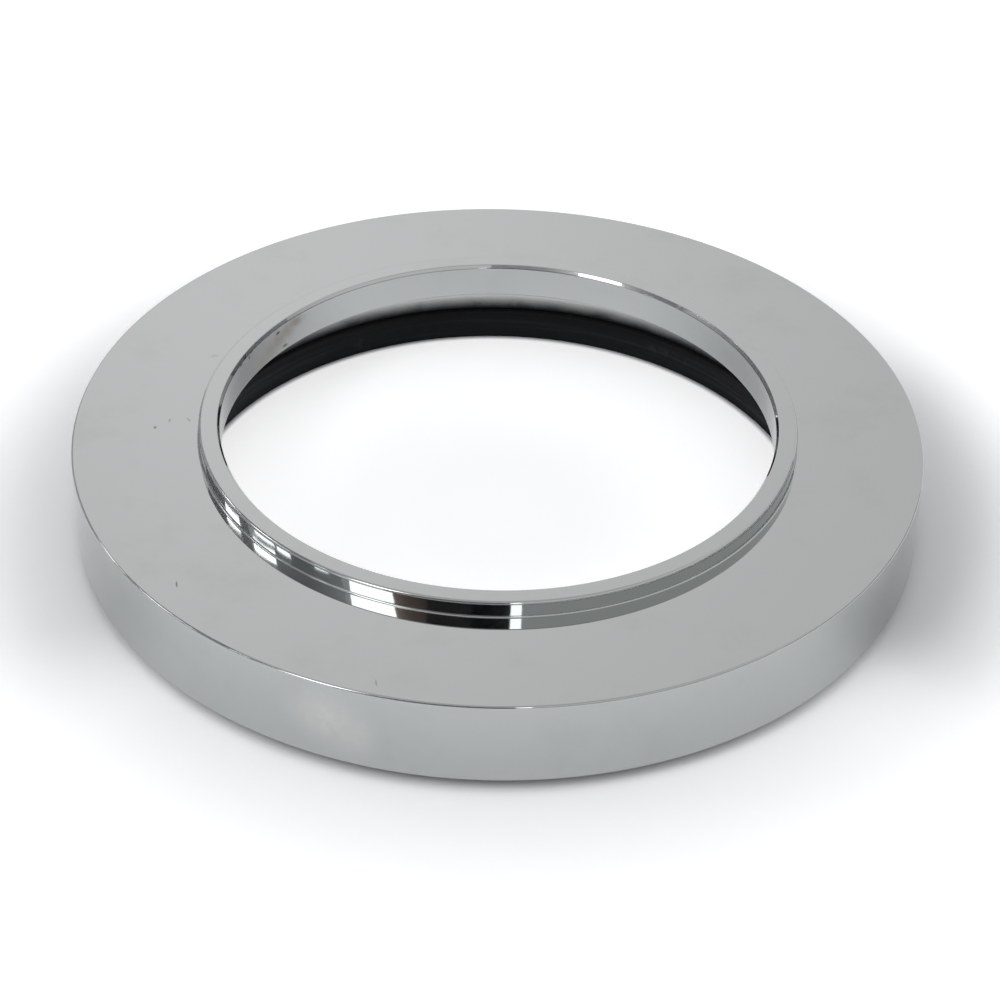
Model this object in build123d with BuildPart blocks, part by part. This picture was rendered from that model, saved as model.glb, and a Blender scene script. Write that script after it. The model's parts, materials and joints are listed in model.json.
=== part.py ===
import os

from build123d import *

# A round tap escutcheon: a chrome-plated ring that lies on the worktop round a tap body.
# Its flat top carries a low collar round the bore, and a flat rubber sealing ring
# lies in the recess of its underside.
# Millimetres, +Z up, z = 0 on the underside of the sealing ring.

# the ring, its widths measured outwards from the bore
bore_diameter = 45.7
flange_width = 12.15
flange_height = 7.25

# the collar that stands round the bore
collar_width = 1.75
collar_height = 1.4

# the lip left at the bore by the counterbore below it
lip_width = 3.75
lip_thickness = 1.6

# the recess for the seal, inside the foot of the skirt
foot_width = 2.0
recess_depth = 1.8

# the sealing ring, which stands in a little from the counterbore
seal_thickness = 3.0
seal_clearance = 0.15
seal_overhang = 0.2

# edges
rim_radius = 0.2
collar_edge_radius = 0.25
bore_chamfer = 0.22
edge_break = 0.15
seal_chamfer = 0.35

flange_diameter = bore_diameter + 2 * flange_width
collar_diameter = bore_diameter + 2 * collar_width
counterbore_diameter = bore_diameter + 2 * lip_width
recess_diameter = flange_diameter - 2 * foot_width
seal_outer_diameter = recess_diameter - 2 * seal_clearance
seal_inner_diameter = counterbore_diameter - 2 * seal_overhang

# heights, from the underside of the seal upwards
seat_z = seal_thickness
foot_z = seat_z - recess_depth
top_z = foot_z + flange_height
lip_z = top_z - lip_thickness

with BuildPart() as escutcheon:
    # the flange, with a rounded rim
    with BuildSketch(Plane.XY.offset(foot_z)):
        Circle(flange_diameter / 2)
    extrude(amount=flange_height)
    fillet(escutcheon.edges().group_by(Axis.Z)[-1], radius=rim_radius)

    # the collar, with a rounded edge
    with BuildSketch(Plane.XY.offset(top_z)):
        Circle(collar_diameter / 2)
    extrude(amount=collar_height)
    fillet(escutcheon.edges().group_by(Axis.Z)[-1], radius=collar_edge_radius)

    # the recess that the seal lies in, with the foot of the skirt left round it
    with BuildSketch(Plane.XY.offset(foot_z)):
        Circle(recess_diameter / 2)
    extrude(amount=recess_depth, mode=Mode.SUBTRACT)
    chamfer(escutcheon.edges().group_by(Axis.Z)[0], length=edge_break)

    # the counterbore up to the underside of the lip
    with BuildSketch(Plane.XY.offset(seat_z)):
        Circle(counterbore_diameter / 2)
    extrude(amount=lip_z - seat_z, mode=Mode.SUBTRACT)

    # the bore that the tap body goes through, cut back at both ends
    Hole(bore_diameter / 2)
    bore_wall = escutcheon.faces().filter_by(GeomType.CYLINDER).sort_by(SortBy.RADIUS)[0]
    bore_low, bore_top = bore_wall.edges().filter_by(GeomType.CIRCLE).sort_by(Axis.Z)
    chamfer(bore_top, length=bore_chamfer)
    chamfer(bore_low, length=edge_break)
escutcheon.part.label = "escutcheon"

with BuildPart() as seal:
    # the flat ring of rubber, with its upper inner edge cut back
    with BuildSketch():
        Circle(seal_outer_diameter / 2)
        Circle(seal_inner_diameter / 2, mode=Mode.SUBTRACT)
    extrude(amount=seal_thickness)
    seal_top_inner = seal.edges().group_by(Axis.Z)[-1].sort_by(SortBy.RADIUS)[0]
    chamfer(seal_top_inner, length=seal_chamfer)
seal.part.label = "seal"

os.makedirs("parts", exist_ok=True)
export_step(escutcheon.part, "parts/escutcheon.step")
export_step(seal.part, "parts/seal.step")
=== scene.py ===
import json
import math

import bmesh
import bpy
from mathutils import Matrix, Vector


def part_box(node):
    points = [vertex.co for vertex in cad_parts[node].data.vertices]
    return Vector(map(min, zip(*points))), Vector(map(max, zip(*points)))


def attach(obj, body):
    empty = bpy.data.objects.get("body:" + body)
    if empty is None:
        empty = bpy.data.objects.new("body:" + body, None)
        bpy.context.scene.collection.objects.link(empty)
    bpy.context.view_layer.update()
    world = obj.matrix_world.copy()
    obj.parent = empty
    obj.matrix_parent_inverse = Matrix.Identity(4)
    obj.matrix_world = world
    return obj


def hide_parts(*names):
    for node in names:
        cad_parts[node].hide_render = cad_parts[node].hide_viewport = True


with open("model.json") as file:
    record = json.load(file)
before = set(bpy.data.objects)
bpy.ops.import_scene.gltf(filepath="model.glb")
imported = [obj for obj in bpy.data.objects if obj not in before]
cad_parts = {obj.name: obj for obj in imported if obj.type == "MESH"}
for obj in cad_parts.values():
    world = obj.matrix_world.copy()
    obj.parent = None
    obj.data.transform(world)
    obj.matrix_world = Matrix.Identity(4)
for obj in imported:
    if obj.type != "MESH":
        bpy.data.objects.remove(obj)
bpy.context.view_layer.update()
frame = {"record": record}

MM = 0.001
RING_STEPS = 384
SAME_PLACE = 0.004 * MM
SAME_AREA_MM2 = 0.004

# the ring's section, from the CAD nodes and the bore mount
ring_low, ring_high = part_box("escutcheon")
seal_low, seal_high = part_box("seal")
bore_mount = next(m for m in frame["record"]["mounts"] if m["name"] == "bore")
BORE_RADIUS = bore_mount["dims"]["r_mm"] * MM
RIM_RADIUS = ring_high.x
FOOT_Z = ring_low.z
COLLAR_TOP_Z = ring_high.z
SEAT_Z = seal_high.z
SEAL_OUTER_RADIUS = seal_high.x
TABLE_Z = seal_low.z

COLLAR_HEIGHT = 1.4 * MM
COLLAR_WIDTH = 1.75 * MM
LIP_WIDTH = 3.75 * MM
LIP_THICKNESS = 1.6 * MM
FOOT_WIDTH = 2.0 * MM
SEAL_OVERHANG = 0.2 * MM

TOP_Z = COLLAR_TOP_Z - COLLAR_HEIGHT
LIP_Z = TOP_Z - LIP_THICKNESS
COLLAR_RADIUS = BORE_RADIUS + COLLAR_WIDTH
COUNTERBORE_RADIUS = BORE_RADIUS + LIP_WIDTH
RECESS_RADIUS = RIM_RADIUS - FOOT_WIDTH
SEAL_INNER_RADIUS = COUNTERBORE_RADIUS - SEAL_OVERHANG

# edges of the ring and of the seal: size and number of steps round the edge
RIM_EDGE = (0.2 * MM, 6)
COLLAR_EDGE = (0.25 * MM, 6)
COLLAR_FOOT = (0.16 * MM, 5)
SMALL_BREAK = (0.15 * MM, 3)
CHAMFER_BREAK = (0.05 * MM, 3)
SEAL_CHAMFER = (0.35 * MM, 3)
SEAL_LOW_EDGE = (0.08 * MM, 3)
# the chamfer at the top of the bore, a little steeper than it is wide
BORE_CHAMFER_WIDTH = 0.22 * MM
BORE_CHAMFER_HEIGHT = 0.272 * MM
# polishing leaves the collar's wall a little round: how far it leans in, at its foot and at its top
COLLAR_LEAN = (math.radians(-0.35), math.radians(1.5))
COLLAR_STEPS = 6
# faces that meet at less than this angle are shaded smooth, and large faces then keep their own direction
SMOOTH_ANGLE = math.radians(40)
LARGE_FACE_WEIGHT = 100


def turned_ring(name, corners):
    """Draws a circle out from corner to corner of a section, given as (radius, height), and closes it."""
    bpy.ops.object.select_all(action="DESELECT")
    radius, height = corners[0]
    bpy.ops.mesh.primitive_circle_add(vertices=RING_STEPS, radius=radius, location=(0, 0, height))
    piece = bpy.context.object
    piece.name = name
    piece.data.name = name
    bpy.ops.object.transform_apply(location=True, rotation=True, scale=True)
    bpy.ops.object.mode_set(mode="EDIT")
    bpy.ops.mesh.select_all(action="SELECT")
    for next_radius, next_height in corners[1:] + corners[:1]:
        grow = next_radius / radius
        bpy.ops.mesh.extrude_edges_move()
        bpy.ops.transform.resize(value=(grow, grow, 1), center_override=(0, 0, 0))
        bpy.ops.transform.translate(value=(0, 0, next_height - height))
        radius, height = next_radius, next_height
    bpy.ops.mesh.select_all(action="SELECT")
    bpy.ops.mesh.remove_doubles(threshold=SAME_PLACE)
    bpy.ops.mesh.normals_make_consistent(inside=False)
    bpy.ops.object.mode_set(mode="OBJECT")
    return piece


def round_edge(piece, radius, height, edge):
    """Rounds the circular edge that runs round the ring at this radius and height."""
    size, steps = edge
    bpy.context.view_layer.objects.active = piece
    bpy.ops.object.mode_set(mode="EDIT")
    bpy.ops.mesh.select_mode(type="EDGE")
    bpy.ops.mesh.select_all(action="DESELECT")
    mesh = bmesh.from_edit_mesh(piece.data)
    for line in mesh.edges:
        ends = [(v.co.xy.length - radius, v.co.z - height) for v in line.verts]
        line.select_set(all(abs(r) < SAME_PLACE and abs(z) < SAME_PLACE for r, z in ends))
    bmesh.update_edit_mesh(piece.data)
    bpy.ops.mesh.bevel(offset=size, offset_type="OFFSET", segments=steps, profile=0.5, affect="EDGES")
    bpy.ops.object.mode_set(mode="OBJECT")


def resize_piece(piece, share):
    """Makes the piece's mesh larger or smaller by this share."""
    piece.scale = (share, share, share)
    bpy.ops.object.transform_apply(location=False, rotation=False, scale=True)


def smooth_turning(piece):
    """Shades the turned faces smooth and keeps the flat ones flat up to their rounded edges.
    The modifier compares the faces' areas, so it works on the piece in millimetres."""
    bpy.ops.object.select_all(action="DESELECT")
    piece.select_set(True)
    bpy.context.view_layer.objects.active = piece
    bpy.ops.object.shade_smooth_by_angle(angle=SMOOTH_ANGLE)
    resize_piece(piece, 1 / MM)
    flats = piece.modifiers.new("flat faces stay flat", "WEIGHTED_NORMAL")
    flats.weight = LARGE_FACE_WEIGHT
    flats.thresh = SAME_AREA_MM2
    flats.keep_sharp = True
    bpy.ops.object.modifier_apply(modifier=flats.name)
    resize_piece(piece, MM)


def is_inside(out, height):
    """Whether a face is under the lip or in the recess, which are left unpolished."""
    under_lip = height < LIP_Z + SAME_PLACE and BORE_RADIUS < out < COUNTERBORE_RADIUS + SAME_PLACE
    in_recess = height < SEAT_Z + SAME_PLACE and out < RECESS_RADIUS + SAME_PLACE
    return under_lip or in_recess


def is_bore(out, height):
    """Whether a face is on the bore's wall or on the chamfer above it."""
    return height > LIP_Z + SAME_PLACE and out < BORE_RADIUS + BORE_CHAMFER_WIDTH + SAME_PLACE


def is_skirt(out, height):
    """Whether a face is on the skirt's outer wall."""
    return out > RIM_RADIUS - SAME_PLACE


def finish_faces(piece, finish, belongs):
    """Gives this finish to the faces that belong to it by distance from the axis and height."""
    piece.data.materials.append(finish)
    piece.active_material_index = len(piece.data.materials) - 1
    bpy.context.view_layer.objects.active = piece
    bpy.ops.object.mode_set(mode="EDIT")
    bpy.ops.mesh.select_mode(type="FACE")
    bpy.ops.mesh.select_all(action="DESELECT")
    mesh = bmesh.from_edit_mesh(piece.data)
    for face in mesh.faces:
        place = face.calc_center_median()
        face.select_set(belongs(place.xy.length, place.z))
    bmesh.update_edit_mesh(piece.data)
    bpy.ops.object.material_slot_assign()
    bpy.ops.object.mode_set(mode="OBJECT")


class Nodes:
    """A short way to place and join nodes in a material, a world or a node group."""

    def __init__(self, tree):
        self.tree = tree

    def add(self, kind, inputs=None, **settings):
        node = self.tree.nodes.new(kind)
        for name, value in settings.items():
            setattr(node, name, value)
        for name, value in (inputs or {}).items():
            if isinstance(value, bpy.types.NodeSocket):
                self.tree.links.new(value, node.inputs[name])
            else:
                node.inputs[name].default_value = value
        return node

    def math(self, operation, first, second=0.0, clamp=False):
        node = self.add("ShaderNodeMath", {0: first, 1: second}, operation=operation, use_clamp=clamp)
        return node.outputs[0]

    def vector(self, operation, first, second=(0, 0, 0)):
        return self.add("ShaderNodeVectorMath", {0: first, 1: second}, operation=operation)

    def spread(self, value, low, high, to_low=0.0, to_high=1.0, curve="SMOOTHSTEP"):
        sockets = {"Value": value, "From Min": low, "From Max": high, "To Min": to_low, "To Max": to_high}
        return self.add("ShaderNodeMapRange", sockets, interpolation_type=curve).outputs["Result"]

    def tint(self, share, first, second):
        node = self.add("ShaderNodeMix", data_type="RGBA", blend_type="MIX")
        for socket, value in ((0, share), (6, first), (7, second)):
            if isinstance(value, bpy.types.NodeSocket):
                self.tree.links.new(value, node.inputs[socket])
            else:
                node.inputs[socket].default_value = value
        return node.outputs[2]


def new_group(name, inputs, outputs):
    """An empty shader node group with named inputs (name, kind, value) and outputs (name, kind)."""
    group = bpy.data.node_groups.new(name, "ShaderNodeTree")
    for label, kind, value in inputs:
        socket = group.interface.new_socket(label, in_out="INPUT", socket_type=kind)
        if value is not None:
            socket.default_value = value
    for label, kind in outputs:
        group.interface.new_socket(label, in_out="OUTPUT", socket_type=kind)
    nodes = Nodes(group)
    return group, nodes, nodes.add("NodeGroupInput").outputs, nodes.add("NodeGroupOutput").inputs


def round_streaks_group():
    """Fine streaks that run round the axis, as turning, polishing and moulding leave them."""
    group, nodes, given, result = new_group(
        "round streaks",
        [
            ("Place", "NodeSocketVector", None),
            ("Per mm", "NodeSocketFloat", 6.0),
            ("Round per mm", "NodeSocketFloat", 0.05),
            ("Low", "NodeSocketFloat", 0.4),
            ("High", "NodeSocketFloat", 0.7),
        ],
        [("Mask", "NodeSocketFloat")],
    )
    in_mm = nodes.vector("SCALE", given["Place"])
    in_mm.inputs["Scale"].default_value = 1 / MM
    flat = nodes.vector("MULTIPLY", in_mm.outputs[0], (1, 1, 0)).outputs[0]
    out = nodes.vector("LENGTH", flat).outputs["Value"]
    parts = nodes.add("ShaderNodeSeparateXYZ", {0: in_mm.outputs[0]}).outputs
    across = nodes.math("MULTIPLY", out, given["Per mm"])
    along = nodes.math("MULTIPLY", parts["Z"], given["Per mm"])
    round_x = nodes.math("MULTIPLY", parts["X"], given["Round per mm"])
    round_y = nodes.math("MULTIPLY", parts["Y"], given["Round per mm"])
    place = nodes.add("ShaderNodeCombineXYZ", {"X": across, "Y": along, "Z": round_x}).outputs[0]
    noise = nodes.add(
        "ShaderNodeTexNoise",
        {"Vector": place, "W": round_y, "Scale": 1.0, "Detail": 3.0, "Roughness": 0.6},
        noise_dimensions="4D",
    )
    mask = nodes.spread(noise.outputs[0], given["Low"], given["High"])
    nodes.tree.links.new(mask, result["Mask"])
    return group


def film_group():
    """Uneven patches of film, dust or grease, larger and softer than the streaks."""
    group, nodes, given, result = new_group(
        "film",
        [
            ("Place", "NodeSocketVector", None),
            ("Per mm", "NodeSocketFloat", 0.2),
            ("Low", "NodeSocketFloat", 0.45),
            ("High", "NodeSocketFloat", 0.75),
        ],
        [("Mask", "NodeSocketFloat")],
    )
    in_mm = nodes.vector("SCALE", given["Place"])
    in_mm.inputs["Scale"].default_value = 1 / MM
    noise = nodes.add(
        "ShaderNodeTexNoise",
        {"Vector": in_mm.outputs[0], "Scale": given["Per mm"], "Detail": 5.0, "Roughness": 0.62},
    )
    mask = nodes.spread(noise.outputs[0], given["Low"], given["High"])
    nodes.tree.links.new(mask, result["Mask"])
    return group


def nick_group():
    """One short mark in the plating, at a place in mm, with its half length, half width and turn."""
    group, nodes, given, result = new_group(
        "nick",
        [
            ("Place", "NodeSocketVector", None),
            ("Centre", "NodeSocketVector", (0, 0, 0)),
            ("Turn", "NodeSocketFloat", 0.0),
            ("Half size", "NodeSocketVector", (0.1, 0.3, 1)),
            ("Strength", "NodeSocketFloat", 1.0),
            ("Core", "NodeSocketFloat", 0.35),
        ],
        [("Mask", "NodeSocketFloat")],
    )
    in_mm = nodes.vector("SCALE", given["Place"])
    in_mm.inputs["Scale"].default_value = 1 / MM
    away = nodes.vector("SUBTRACT", in_mm.outputs[0], given["Centre"]).outputs[0]
    turned = nodes.add(
        "ShaderNodeVectorRotate",
        {"Vector": away, "Angle": given["Turn"]},
        rotation_type="Z_AXIS",
    )
    shrunk = nodes.vector("DIVIDE", turned.outputs[0], given["Half size"]).outputs[0]
    distance = nodes.vector("LENGTH", shrunk).outputs["Value"]
    mask = nodes.spread(distance, given["Core"], 1.0, given["Strength"], 0.0)
    nodes.tree.links.new(mask, result["Mask"])
    return group


ROUND_STREAKS = round_streaks_group()
FILM = film_group()
NICK = nick_group()


def new_finish(name):
    """A material with its Principled shader and the piece's own Object coordinates."""
    finish = bpy.data.materials.new(name)
    finish.use_nodes = True
    nodes = Nodes(finish.node_tree)
    shader = finish.node_tree.nodes["Principled BSDF"]
    place = nodes.add("ShaderNodeTexCoord").outputs["Object"]
    return finish, nodes, shader, place


def effect(nodes, group, place, **inputs):
    """Places one of the shared effects and gives back its mask."""
    node = nodes.add("ShaderNodeGroup", node_tree=group)
    nodes.tree.links.new(place, node.inputs["Place"])
    for name, value in inputs.items():
        node.inputs[name.replace("_", " ")].default_value = value
    return node.outputs["Mask"]


# marks in the plating: centre in mm, turn in degrees, half sizes in mm and strength
TOP_NICKS = [
    ((-28.25, -0.77, 8.45), 10, (0.18, 0.26, 0.3), 0.5),
    ((-27.14, 0.26, 8.45), 5, (0.13, 0.34, 0.3), 0.32),
    ((-25.58, 0.39, 8.45), -25, (0.12, 0.42, 0.3), 0.28),
    ((-24.41, -21.37, 8.45), -8, (0.09, 0.5, 0.3), 0.6),
    ((-8.61, -32.51, 8.45), -8, (0.09, 0.5, 0.3), 0.3),
    ((-24.3, 9.86, 8.45), 70, (0.25, 0.5, 0.3), 0.15),
]
BORE_NICKS = [
    ((-21.4, 7.9, 9.7), 0, (0.4, 0.42, 0.2), 0.85),
    ((-21.0, 8.9, 9.55), 0, (0.4, 0.3, 0.12), 0.6),
    ((-21.15, 8.5, 9.3), 0, (0.4, 0.22, 0.25), 0.7),
    ((-21.75, 7.0, 9.5), 0, (0.4, 0.45, 0.15), 0.8),
    ((-22.2, 5.5, 9.65), 0, (0.3, 0.6, 0.09), 0.7),
    ((-19.06, 12.6, 9.1), 0, (0.4, 0.4, 0.2), 0.7),
    ((-18.56, 13.33, 7.35), 0, (0.45, 0.45, 0.2), 0.6),
]
BORE_STAIN = [
    ((-17.8, 14.35, 9.05), 0, (1.9, 1.8, 0.85), 0.9),
    ((-18.4, 13.5, 8.7), 0, (1.9, 1.8, 1.15), 0.9),
    ((-19.0, 12.65, 8.35), 0, (1.8, 1.7, 1.2), 0.9),
    ((-19.65, 11.6, 7.95), 0, (1.7, 1.6, 1.2), 0.85),
    ((-20.3, 10.45, 7.5), 0, (1.5, 1.4, 1.1), 0.75),
]
# painted shade: dark grey patches at the two ends of the bore's wall, standing in for the shaded table
# that they reflect
BORE_ENDS_PAINTED_SHADE = [
    ((-22.26, 5.14, 8.0), 0, (18, 18, 9), 1.0),
    ((22.26, 5.14, 8.0), 0, (20, 20, 9), 0.7),
]
# painted reflection: a lighter patch on the front of the skirt, standing in for a bright patch of light on
# the table that the skirt reflects
SKIRT_PAINTED_REFLECTION = [
    ((-12.5, -32.7, 5.2), 0, (4.2, 4.2, 3.6), 1.0),
    ((-10.6, -33.3, 4.2), 0, (3.2, 3.2, 3.0), 0.8),
]
# a mark is at full strength over this share of its size
NICK_CORE = 0.35
SOFT_CORE = 0.0
CHROME = (0.437, 0.453, 0.449, 1)
CHROME_IN_NICK = (0.04, 0.042, 0.042, 1)
CHROME_UNDER_FILM = (0.418, 0.43, 0.425, 1)
# the chrome's colour in the painted shade at the two ends of the bore
CHROME_PAINTED_SHADE = (0.13, 0.137, 0.14, 1)
CHROME_STAINED = (0.205, 0.18, 0.158, 1)
# the chrome's colour in the painted reflection on the skirt
CHROME_PAINTED_REFLECTION = (0.535, 0.54, 0.53, 1)
CHROME_ROUGHNESS = (0.035, 0.07)
STREAK_DULLNESS = 0.012
NICK_DULLNESS = 0.35
NICK_DEPTH = 0.03 * MM
NICK_BUMP = 0.5
PATCHY_STRENGTH = (0.75, 1.0)
# the bore's wall is duller than the rest, from just below its chamfer down
BORE_DULLNESS = 0.16
BORE_DULL_BELOW_Z = COLLAR_TOP_Z - 0.3 * MM
DULLNESS_FADES_OVER = 0.1 * MM


def marks(nodes, place, places, core):
    """One mask for several marks in the plating, each full strength over this share of its size."""
    found = None
    for centre, turn, half_size, strength in places:
        sizes = {"Centre": centre, "Turn": math.radians(turn), "Half_size": half_size}
        mark = effect(nodes, NICK, place, Strength=strength, Core=core, **sizes)
        found = mark if found is None else nodes.math("MAXIMUM", found, mark)
    return found


def polished_chrome(name, nicks=(), stains_and_painted_light=(), dull_below=None):
    """Polished plating: nearly a mirror, with faint film and wiping streaks.
    Nicks are a list of marks. Stains and painted patches each come as such a list, with the plating's
    colour there and whether it is patchy;
    the painted patches are painted shade and painted reflections. A wall may be duller below some height."""
    finish, nodes, shader, place = new_finish(name)
    film = effect(nodes, FILM, place, Per_mm=0.16, Low=0.48, High=0.78)
    streaks = effect(nodes, ROUND_STREAKS, place, Per_mm=5.0, Round_per_mm=0.12, Low=0.5, High=0.85)
    flecks = effect(nodes, FILM, place, Per_mm=1.1, Low=0.42, High=0.62)
    uneven = nodes.spread(flecks, 0.0, 1.0, *PATCHY_STRENGTH)
    colour = nodes.tint(film, CHROME, CHROME_UNDER_FILM)
    rough = nodes.spread(film, 0.0, 1.0, *CHROME_ROUGHNESS, "LINEAR")
    rough = nodes.math("ADD", rough, nodes.math("MULTIPLY", streaks, STREAK_DULLNESS))
    # real stains, painted shade and painted reflections are all laid on the plating's colour here
    for places, stained_and_painted_colour, is_patchy in stains_and_painted_light:
        stain_and_painted_light_mask = marks(nodes, place, places, SOFT_CORE)
        if is_patchy:
            stain_and_painted_light_mask = nodes.math("MULTIPLY", stain_and_painted_light_mask, uneven)
        colour = nodes.tint(stain_and_painted_light_mask, colour, stained_and_painted_colour)
    if nicks:
        nicked = marks(nodes, place, nicks, NICK_CORE)
        colour = nodes.tint(nicked, colour, CHROME_IN_NICK)
        rough = nodes.math("ADD", rough, nodes.math("MULTIPLY", nicked, NICK_DULLNESS))
        depth = nodes.math("MULTIPLY", nicked, -1.0)
        nick_inputs = {"Height": depth, "Strength": NICK_BUMP, "Distance": NICK_DEPTH}
        bump = nodes.add("ShaderNodeBump", nick_inputs)
        nodes.tree.links.new(bump.outputs[0], shader.inputs["Normal"])
    if dull_below:
        height = nodes.add("ShaderNodeSeparateXYZ", {0: place}).outputs["Z"]
        dull = nodes.spread(height, dull_below - DULLNESS_FADES_OVER, dull_below, BORE_DULLNESS, 0.0)
        rough = nodes.math("ADD", rough, dull)
    nodes.tree.links.new(colour, shader.inputs["Base Color"])
    nodes.tree.links.new(rough, shader.inputs["Roughness"])
    shader.inputs["Metallic"].default_value = 1.0
    return finish


PLATE = (0.43, 0.44, 0.435, 1)
PLATE_PAINTED_SHADE = (0.006, 0.007, 0.008, 1)
PLATE_ROUGHNESS = (0.24, 0.34)
TOOL_LINE_DEPTH = 0.02 * MM
TOOL_LINE_BUMP = 0.35
# painted shade: the inside darkens to near black towards the seal, fading out over this height above it,
# along a curve that the film makes uneven
PAINTED_SHADE_HEIGHT = 1.3 * MM
PAINTED_SHADE_CURVE = (1.6, 2.4)


def unpolished_plate():
    """The turned and plated inside, left unpolished: dull, with tool lines and painted shade darkening it
    towards the seal.
    """
    finish, nodes, shader, place = new_finish("unpolished plate")
    lines = effect(nodes, ROUND_STREAKS, place, Per_mm=9.0, Round_per_mm=0.02, Low=0.35, High=0.7)
    film = effect(nodes, FILM, place, Per_mm=0.5, Low=0.4, High=0.8)
    height = nodes.add("ShaderNodeSeparateXYZ", {0: place}).outputs["Z"]
    # painted shade, darker towards the seal and uneven
    clear = nodes.spread(height, SEAT_Z, SEAT_Z + PAINTED_SHADE_HEIGHT, 0.0, 1.0, "LINEAR")
    clear = nodes.math("POWER", clear, nodes.spread(film, 0.0, 1.0, *PAINTED_SHADE_CURVE, "LINEAR"))
    colour = nodes.tint(clear, PLATE_PAINTED_SHADE, PLATE)
    nodes.tree.links.new(colour, shader.inputs["Base Color"])
    rough = nodes.spread(lines, 0.0, 1.0, *PLATE_ROUGHNESS, "LINEAR")
    nodes.tree.links.new(rough, shader.inputs["Roughness"])
    line_inputs = {"Height": lines, "Strength": TOOL_LINE_BUMP, "Distance": TOOL_LINE_DEPTH}
    bump = nodes.add("ShaderNodeBump", line_inputs)
    nodes.tree.links.new(bump.outputs[0], shader.inputs["Normal"])
    shader.inputs["Metallic"].default_value = 1.0
    return finish


RUBBER = (0.0048, 0.0068, 0.0085, 1)
RUBBER_WORN = (0.0145, 0.018, 0.0205, 1)
RUBBER_DUST = (0.09, 0.092, 0.092, 1)
RUBBER_PAINTED_GAP_SHADE = (0.002, 0.002, 0.0025, 1)
RUBBER_ROUGHNESS = (0.62, 0.5)
RUBBER_SHINE = 0.12
RUBBER_RELIEF = 0.04 * MM
RUBBER_BUMP = 0.4
GRAIN_SHARE = 0.4
# painted shade: the rubber darkens into the gap under the ring's seat, between these two heights
GAP_LOW_Z = SEAT_Z - 1.4 * MM
GAP_HIGH_Z = SEAT_Z - 0.5 * MM


def moulded_rubber():
    """Matt black rubber with a fine grain, moulding streaks round it, a little pale dust and painted shade
    at its top under the ring's seat.
    """
    finish, nodes, shader, place = new_finish("moulded rubber")
    streaks = effect(nodes, ROUND_STREAKS, place, Per_mm=3.0, Round_per_mm=0.06, Low=0.42, High=0.75)
    grain = effect(nodes, FILM, place, Per_mm=7.0, Low=0.3, High=0.75)
    dust = effect(nodes, FILM, place, Per_mm=0.35, Low=0.6, High=0.85)
    colour = nodes.tint(streaks, RUBBER, RUBBER_WORN)
    colour = nodes.tint(nodes.math("MULTIPLY", dust, grain), colour, RUBBER_DUST)
    height = nodes.add("ShaderNodeSeparateXYZ", {0: place}).outputs["Z"]
    # painted shade in the gap under the ring's seat
    painted_gap_shade = nodes.spread(height, GAP_LOW_Z, GAP_HIGH_Z)
    colour = nodes.tint(painted_gap_shade, colour, RUBBER_PAINTED_GAP_SHADE)
    nodes.tree.links.new(colour, shader.inputs["Base Color"])
    rough = nodes.spread(streaks, 0.0, 1.0, *RUBBER_ROUGHNESS, "LINEAR")
    nodes.tree.links.new(rough, shader.inputs["Roughness"])
    relief = nodes.math("ADD", nodes.math("MULTIPLY", grain, GRAIN_SHARE), streaks)
    relief_inputs = {"Height": relief, "Strength": RUBBER_BUMP, "Distance": RUBBER_RELIEF}
    bump = nodes.add("ShaderNodeBump", relief_inputs)
    nodes.tree.links.new(bump.outputs[0], shader.inputs["Normal"])
    shader.inputs["Specular IOR Level"].default_value = RUBBER_SHINE
    return finish


def collar_wall():
    """The corners up the collar's wall, from its foot to its top."""
    at_foot, at_top = COLLAR_LEAN
    corners = []
    for step in range(COLLAR_STEPS + 1):
        share = step / COLLAR_STEPS
        lean = at_foot + (at_top - at_foot) * share / 2
        rise = COLLAR_HEIGHT * share
        corners.append((COLLAR_RADIUS - rise * lean, TOP_Z + rise))
    return corners


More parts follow.
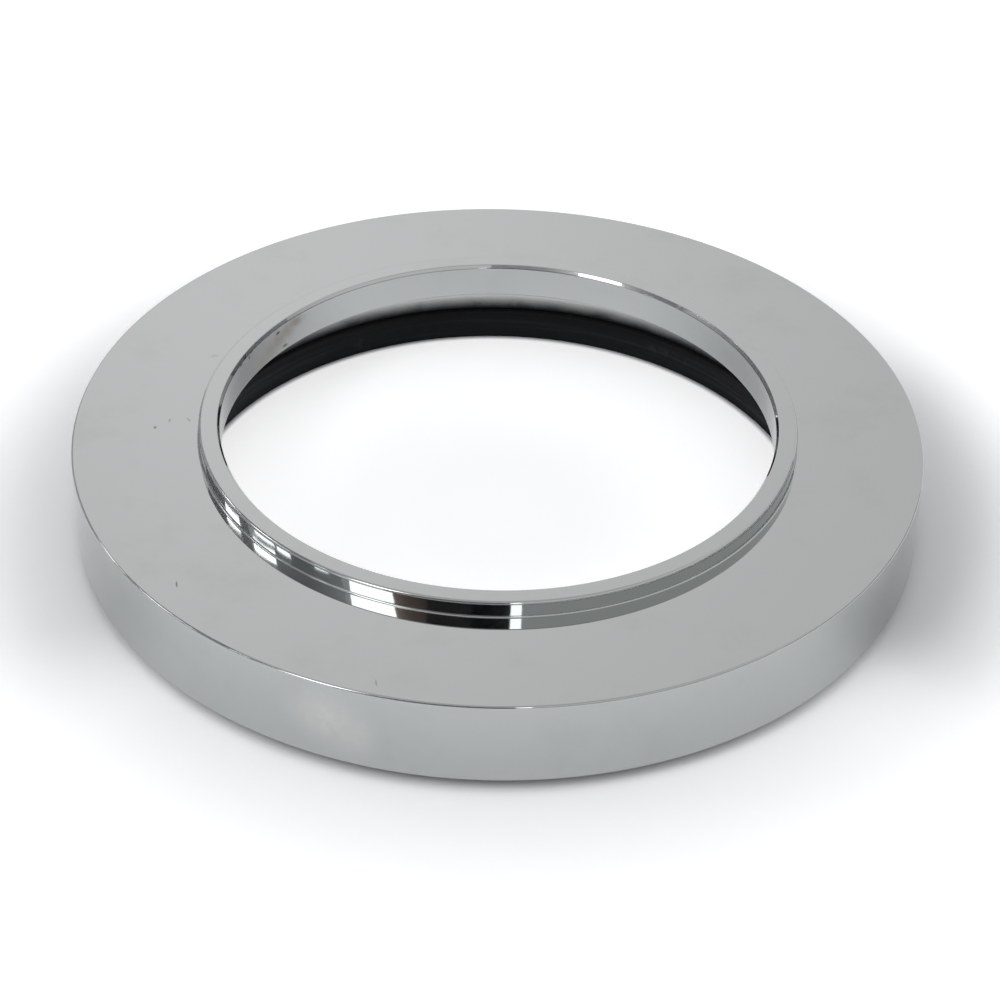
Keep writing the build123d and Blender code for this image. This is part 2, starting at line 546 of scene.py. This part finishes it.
def chrome_ring():
    """The turned ring: skirt, flat top, collar, bore, lip, counterbore and the recess for the seal."""
    wall = collar_wall()
    chamfer_top = (BORE_RADIUS + BORE_CHAMFER_WIDTH, COLLAR_TOP_Z)
    chamfer_low = (BORE_RADIUS, COLLAR_TOP_Z - BORE_CHAMFER_HEIGHT)
    ring = turned_ring(
        "chrome_ring",
        [
            (RIM_RADIUS, FOOT_Z),
            (RIM_RADIUS, TOP_Z),
            *wall,
            chamfer_top,
            chamfer_low,
            (BORE_RADIUS, LIP_Z),
            (COUNTERBORE_RADIUS, LIP_Z),
            (COUNTERBORE_RADIUS, SEAT_Z),
            (RECESS_RADIUS, SEAT_Z),
            (RECESS_RADIUS, FOOT_Z),
        ],
    )
    round_edge(ring, RIM_RADIUS, TOP_Z, RIM_EDGE)
    round_edge(ring, *wall[0], COLLAR_FOOT)
    round_edge(ring, *wall[-1], COLLAR_EDGE)
    round_edge(ring, *chamfer_top, CHAMFER_BREAK)
    round_edge(ring, *chamfer_low, CHAMFER_BREAK)
    round_edge(ring, BORE_RADIUS, LIP_Z, SMALL_BREAK)
    round_edge(ring, RIM_RADIUS, FOOT_Z, SMALL_BREAK)
    round_edge(ring, RECESS_RADIUS, FOOT_Z, SMALL_BREAK)
    ring.data.materials.append(polished_chrome("polished chrome", TOP_NICKS))
    # the bore gets painted shade at its two ends and a real stain on its left
    bore_stains_and_painted_shade = [(BORE_ENDS_PAINTED_SHADE, CHROME_PAINTED_SHADE, False), (BORE_STAIN, CHROME_STAINED, True)]
    bore_finish = polished_chrome("chrome in the bore", BORE_NICKS, bore_stains_and_painted_shade, BORE_DULL_BELOW_Z)
    # the skirt gets a painted reflection on its front
    skirt_painted_patches = [(SKIRT_PAINTED_REFLECTION, CHROME_PAINTED_REFLECTION, True)]
    finish_faces(ring, bore_finish, is_bore)
    finish_faces(ring, polished_chrome("chrome on the skirt", stains_and_painted_light=skirt_painted_patches), is_skirt)
    finish_faces(ring, unpolished_plate(), is_inside)
    smooth_turning(ring)
    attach(ring, "root")
    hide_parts("escutcheon")
    return ring


def rubber_seal():
    """The flat sealing ring, chamfered at its upper inner edge and worn round at its lower one."""
    seal = turned_ring(
        "rubber_seal",
        [
            (SEAL_OUTER_RADIUS, TABLE_Z),
            (SEAL_OUTER_RADIUS, SEAT_Z),
            (SEAL_INNER_RADIUS, SEAT_Z),
            (SEAL_INNER_RADIUS, TABLE_Z),
        ],
    )
    round_edge(seal, SEAL_INNER_RADIUS, SEAT_Z, SEAL_CHAMFER)
    round_edge(seal, SEAL_INNER_RADIUS, TABLE_Z, SEAL_LOW_EDGE)
    round_edge(seal, SEAL_OUTER_RADIUS, TABLE_Z, SMALL_BREAK)
    seal.data.materials.append(moulded_rubber())
    smooth_turning(seal)
    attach(seal, "root")
    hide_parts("seal")
    return seal


WHITE = (1, 1, 1, 1)
TABLE_SIZE = 8.0
TABLE_WHITE = (0.792, 0.80, 0.812, 1)
# how much painted light lifts the table towards white: in the bore, beside the skirt, in front and away
# from it
LIFT_IN_BORE = (0.37, 0.6)
LIFT_BY_SKIRT = 0.135
LIFT_IN_FRONT = 0.215
LIFT_AWAY = 0.45
# where those lifts begin and end, as distances from the axis; the painted light fades out under the seal
# and the skirt, which leaves painted shade there
MIDDLE_OF_BORE = (5 * MM, 23 * MM)
EDGE_OF_SEAL = (SEAL_INNER_RADIUS - 0.6 * MM, SEAL_INNER_RADIUS)
EDGE_OF_SKIRT = (RIM_RADIUS - 1.5 * MM, RIM_RADIUS + 0.5 * MM)
AWAY_FROM_SKIRT = (RIM_RADIUS + 2.5 * MM, RIM_RADIUS + 15 * MM)
# the front and the shaded side, and how squarely a place has to lie towards them: the front gets more
# painted light, and the shaded side none, which leaves painted shade there
FRONT_SIDE = (0, -1, 0)
FRONT_REACH = (0.4, 0.7)
SHADOW_SIDE = (0.9994, 0.035, 0)
SHADOW_REACH = (0.8, 0.93)


def white_table():
    """The white table under the ring: it keeps the ring's shadow, and reads as white away from it. A glow
    seen only by the camera and in reflections paints light on it, more in the bore and in front, none
    under the ring and on the shaded side.
    """
    bpy.ops.object.select_all(action="DESELECT")
    bpy.ops.mesh.primitive_plane_add(size=TABLE_SIZE, location=(0, 0, TABLE_Z))
    table = bpy.context.object
    table.name = "white_table"
    bpy.ops.object.transform_apply(location=True, rotation=True, scale=True)
    paint = bpy.data.materials.new("white table top")
    paint.use_nodes = True
    nodes = Nodes(paint.node_tree)
    paint.node_tree.nodes.remove(paint.node_tree.nodes["Principled BSDF"])
    output = paint.node_tree.nodes["Material Output"]
    place = nodes.add("ShaderNodeTexCoord").outputs["Object"]
    out = nodes.vector("LENGTH", place).outputs["Value"]
    to_seal = nodes.spread(out, *EDGE_OF_SEAL, 1.0, 0.0)
    inside = nodes.spread(out, *MIDDLE_OF_BORE, *LIFT_IN_BORE)
    inside = nodes.math("MULTIPLY", inside, to_seal)
    side = nodes.vector("NORMALIZE", place).outputs[0]
    front = nodes.vector("DOT_PRODUCT", side, FRONT_SIDE).outputs["Value"]
    by_skirt = nodes.spread(front, *FRONT_REACH, LIFT_BY_SKIRT, LIFT_BY_SKIRT + LIFT_IN_FRONT)
    shadow = nodes.vector("DOT_PRODUCT", side, SHADOW_SIDE).outputs["Value"]
    by_skirt = nodes.math("MULTIPLY", by_skirt, nodes.spread(shadow, *SHADOW_REACH, 1.0, 0.0))
    away = nodes.spread(out, *AWAY_FROM_SKIRT)
    outside = nodes.add("ShaderNodeMix", {"Factor": away, "A": by_skirt, "B": LIFT_AWAY})
    outside = nodes.math("MULTIPLY", outside.outputs["Result"], nodes.spread(out, *EDGE_OF_SKIRT))
    # painted light: the glow is no lamp, and only the camera and reflections see it
    light_path = nodes.add("ShaderNodeLightPath").outputs
    seen = nodes.math("ADD", light_path["Is Camera Ray"], light_path["Is Glossy Ray"])
    seen = nodes.math("ADD", seen, light_path["Is Transmission Ray"], clamp=True)
    lift = nodes.math("MULTIPLY", nodes.math("ADD", inside, outside), seen)
    matt = nodes.add("ShaderNodeBsdfDiffuse", {"Color": TABLE_WHITE}).outputs[0]
    glow = nodes.add("ShaderNodeEmission", {"Color": WHITE, "Strength": lift}).outputs[0]
    both = nodes.add("ShaderNodeAddShader", {0: matt, 1: glow}).outputs[0]
    nodes.tree.links.new(both, output.inputs["Surface"])
    table.data.materials.append(paint)
    return table


def towards(azimuth, elevation):
    """The direction from the ring at this azimuth, from the camera's side to the right, and elevation."""
    a = math.radians(azimuth)
    e = math.radians(elevation)
    return Vector((math.sin(a) * math.cos(e), -math.cos(a) * math.cos(e), math.sin(e)))


def studio_card(name, azimuths, elevations, distance, colour, strength):
    """A flat card that faces the ring, between two azimuths and two elevations.
    It is a bright panel if it has a strength, and a plain painted card if it has none."""
    middle = towards(sum(azimuths) / 2, sum(elevations) / 2)
    width = 2 * distance * math.tan(math.radians(azimuths[1] - azimuths[0]) / 2) * middle.xy.length
    height = 2 * distance * math.tan(math.radians(elevations[1] - elevations[0]) / 2)
    bpy.ops.object.select_all(action="DESELECT")
    bpy.ops.mesh.primitive_plane_add(size=1.0)
    card = bpy.context.object
    card.name = name
    card.matrix_world = (
        Matrix.Translation(middle * distance)
        @ middle.to_track_quat("Z", "Y").to_matrix().to_4x4()
        @ Matrix.Diagonal((width, height, 1, 1))
    )
    bpy.ops.object.transform_apply(location=True, rotation=True, scale=True)
    paint = bpy.data.materials.new(name)
    paint.use_nodes = True
    nodes = Nodes(paint.node_tree)
    paint.node_tree.nodes.remove(paint.node_tree.nodes["Principled BSDF"])
    if strength:
        surface = nodes.add("ShaderNodeEmission", {"Color": colour, "Strength": strength})
    else:
        surface = nodes.add("ShaderNodeBsdfDiffuse", {"Color": colour})
    nodes.tree.links.new(surface.outputs[0], paint.node_tree.nodes["Material Output"].inputs["Surface"])
    card.data.materials.append(paint)
    card.visible_camera = False
    return card


DARK = (0.035, 0.035, 0.038, 1)
DARK_GREY = (0.085, 0.08, 0.08, 1)
DARK_WARM = (0.24, 0.18, 0.155, 1)
GREY = (0.45, 0.45, 0.455, 1)
LIGHT_GREY = (0.75, 0.755, 0.76, 1)
NO_LIGHT = 0
# azimuths and elevations of the cards in degrees, and their distances in metres
FRONT = (-38, 6)
LEFT = (-104, -56)
FAR_LEFT = (-150, -104)
RIGHT = (9, 70)
FAR_RIGHT = (70, 131)
DARK_BAND = (33.5, 43.5)
OVER_DARK_BAND = (43, 62)
UNDER_DARK_BAND = (0, 34)
LEFT_BAND = (33, 60)
LEFT_LOW_BAND = (0, 33)
RIGHT_LOW_BAND = (0, 27)
WINDOW_BAND = (33, 52)
SLIT_BAND = (32, 43.5)
FRONT_CARD_AWAY = 0.66
SIDE_CARD_AWAY = 0.64
WINDOW_AWAY = 0.56
SIDE_PANEL_AWAY = 0.52


def studio_cards():
    """Dark and grey cards in front and at the sides, and the bright panels that stand before them."""
    studio_card("dark_card_right", (-8, 6), DARK_BAND, 0.60, DARK, NO_LIGHT)
    studio_card("dark_card_middle", (-25, -6), DARK_BAND, 0.61, DARK_GREY, NO_LIGHT)
    studio_card("dark_card_left", (-39, -23), DARK_BAND, 0.62, DARK_WARM, NO_LIGHT)
    studio_card("grey_card_front_low", FRONT, UNDER_DARK_BAND, FRONT_CARD_AWAY, GREY, NO_LIGHT)
    studio_card("grey_card_front_high", FRONT, OVER_DARK_BAND, FRONT_CARD_AWAY, LIGHT_GREY, NO_LIGHT)
    studio_card("grey_card_left", LEFT, LEFT_BAND, SIDE_CARD_AWAY, GREY, NO_LIGHT)
    studio_card("grey_card_left_low", LEFT, LEFT_LOW_BAND, SIDE_CARD_AWAY, LIGHT_GREY, NO_LIGHT)
    studio_card("grey_card_far_left", FAR_LEFT, LEFT_BAND, SIDE_CARD_AWAY, GREY, NO_LIGHT)
    studio_card("grey_card_far_left_low", FAR_LEFT, LEFT_LOW_BAND, SIDE_CARD_AWAY, LIGHT_GREY, NO_LIGHT)
    studio_card("grey_card_right_low", RIGHT, RIGHT_LOW_BAND, SIDE_CARD_AWAY, LIGHT_GREY, NO_LIGHT)
    studio_card("grey_card_far_right_low", FAR_RIGHT, RIGHT_LOW_BAND, SIDE_CARD_AWAY, LIGHT_GREY, NO_LIGHT)
    studio_card("window_panel", (-56, -37), WINDOW_BAND, WINDOW_AWAY, WHITE, 5.4)
    studio_card("slit_panel", (5.9, 9.9), SLIT_BAND, WINDOW_AWAY, WHITE, 5.0)
    studio_card("side_panel_a", (-70, -64), (33, 36.0), SIDE_PANEL_AWAY, WHITE, 7.0)
    studio_card("side_panel_b", (-89, -82), (34.2, 36.6), SIDE_PANEL_AWAY, WHITE, 6.0)
    studio_card("side_panel_c", (-102, -90.5), (32, 36.4), SIDE_PANEL_AWAY, WHITE, 6.0)
    studio_card("side_panel_c_upper", (-104, -91), (37.3, 38.7), SIDE_PANEL_AWAY, WHITE, 8.0)
    studio_card("side_panel_d", (-121.5, -115), (30, 35.6), SIDE_PANEL_AWAY, WHITE, 6.0)
    studio_card("side_panel_d_upper", (-124, -113), (36.3, 37.8), SIDE_PANEL_AWAY, WHITE, 8.0)


SKY = 0.91
SKY_GLOW = 0.21
# overhead the sky falls to this share, between these two heights of the direction looked in
CEILING_SHARE = 0.75
CEILING_FROM = 0.72
CEILING_TO = 0.95
GLOW_TOWARDS = (-0.08, 0.84, 0.53)
GLOW_REACH = 0.26


def studio_sky():
    """A pale sky with a soft glow behind the ring, a little darker overhead."""
    world = bpy.data.worlds.new("studio sky")
    world.use_nodes = True
    bpy.context.scene.world = world
    nodes = Nodes(world.node_tree)
    background = world.node_tree.nodes["Background"]
    look = nodes.add("ShaderNodeTexCoord").outputs["Generated"]
    away = nodes.vector("DISTANCE", look, GLOW_TOWARDS).outputs["Value"]
    glow = nodes.spread(away, 0.0, GLOW_REACH, SKY + SKY_GLOW, SKY)
    up = nodes.add("ShaderNodeSeparateXYZ", {0: look}).outputs["Z"]
    ceiling = nodes.spread(up, CEILING_FROM, CEILING_TO, 1.0, CEILING_SHARE)
    nodes.tree.links.new(nodes.math("MULTIPLY", glow, ceiling), background.inputs["Strength"])
    background.inputs["Color"].default_value = WHITE


CAMERA_PLACE = (0, -0.194575, 0.147269)
CAMERA_RIGHT = (0.9998136, 0.0106615, 0.0160942)
CAMERA_UP = (-0.0192713, 0.6005580, 0.7993489)
CAMERA_FORWARD = (0.0011432, 0.7995101, -0.6006515)
CAMERA_LENS_MM = 104.18
CAMERA_SENSOR_MM = 36.0
CAMERA_SEES_FROM = 0.01
CAMERA_SEES_TO = 5.0


def photo_camera():
    """The camera, at the place and with the lens that the photograph's circles give."""
    bpy.ops.object.camera_add()
    camera = bpy.context.object
    camera.name = "photo_camera"
    turn = Matrix((CAMERA_RIGHT, CAMERA_UP, -Vector(CAMERA_FORWARD))).transposed()
    camera.matrix_world = Matrix.Translation(CAMERA_PLACE) @ turn.to_4x4()
    camera.data.lens = CAMERA_LENS_MM
    camera.data.sensor_width = CAMERA_SENSOR_MM
    camera.data.clip_start = CAMERA_SEES_FROM
    camera.data.clip_end = CAMERA_SEES_TO
    bpy.context.scene.camera = camera


chrome_ring()
rubber_seal()
white_table()
studio_cards()
studio_sky()
photo_camera()
bpy.context.scene.view_settings.view_transform = "Standard"
